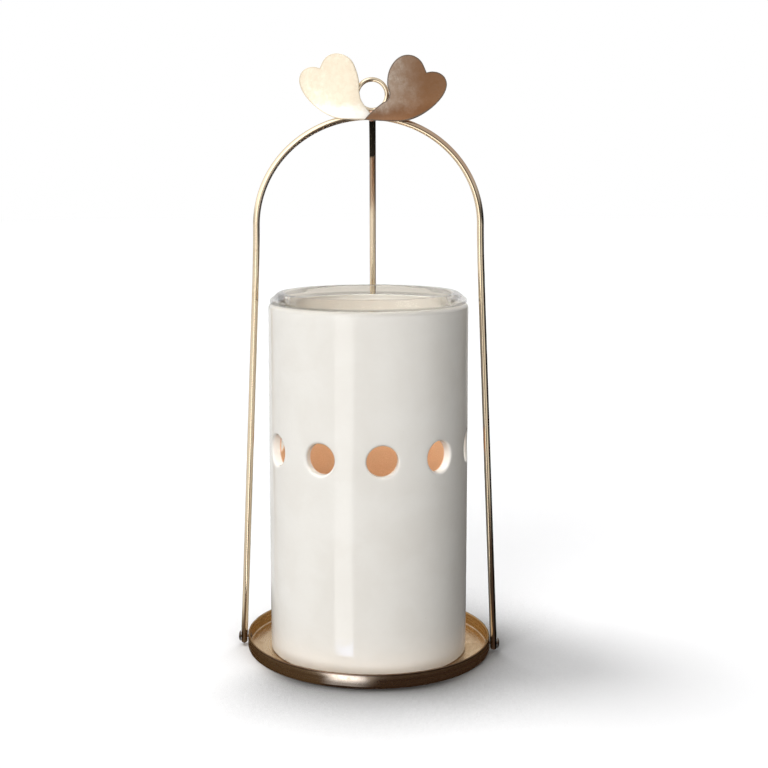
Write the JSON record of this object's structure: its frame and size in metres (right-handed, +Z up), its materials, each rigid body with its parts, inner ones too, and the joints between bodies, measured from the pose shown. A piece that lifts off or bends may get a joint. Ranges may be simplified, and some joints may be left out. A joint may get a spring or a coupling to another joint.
{
  "type": "oil burner",
  "caption": "Tealight oil burner: gold wire stand with tray, arch, hanging ring and heart leaves, round a pierced glazed ceramic sleeve that carries a glass oil dish.",
  "frame": {"origin": "middle of the round tray's underside, where the burner stands", "axes": "+Z up, -Y to the open front between the legs of the arch, +X to the right as seen from the front"},
  "size_m": [0.121, 0.1166, 0.2711],
  "materials": {
    "gold_sheet": "brushed, pale gold plated",
    "gold_wire": "polished, pale gold plated",
    "gold_leaf": "satin, pale gold plated",
    "ivory_glaze": "gloss glaze",
    "clear_glass": "clear",
    "aluminium_cup": "bare pressed foil",
    "white_wax": "wax",
    "tinned_steel": "tinned",
    "cotton_wick": "waxed cotton"
  },
  "bodies": {
    "stand": {"base_tray": "gold_sheet", "arch_wire": "gold_wire", "back_leg": "gold_wire", "left_foot_rivet": "gold_wire", "right_foot_rivet": "gold_wire", "back_foot_rivet": "gold_wire", "hanging_ring": "gold_wire", "left_leaf": "gold_leaf", "right_leaf": "gold_leaf"},
    "sleeve": {"ceramic_sleeve": "ivory_glaze"},
    "dish": {"glass_dish": "clear_glass"},
    "candle": {"tealight_cup": "aluminium_cup", "tealight_wax": "white_wax", "wick_sustainer": "tinned_steel", "wick": "cotton_wick"}
  },
  "joints": [
    {"name": "sleeve_slide", "type": "slide", "parent": "stand", "child": "sleeve", "axis": [0, -0.7071, 0.7071], "range_m": [0, 0.16]},
    {"name": "dish_lift", "type": "slide", "parent": "sleeve", "child": "dish", "axis": [0, 0, 1], "range_m": [0, 0.035]},
    {"name": "candle_lift", "type": "slide", "parent": "stand", "child": "candle", "axis": [0, 0, 1], "range_m": [0, 0.09]}
  ]
}
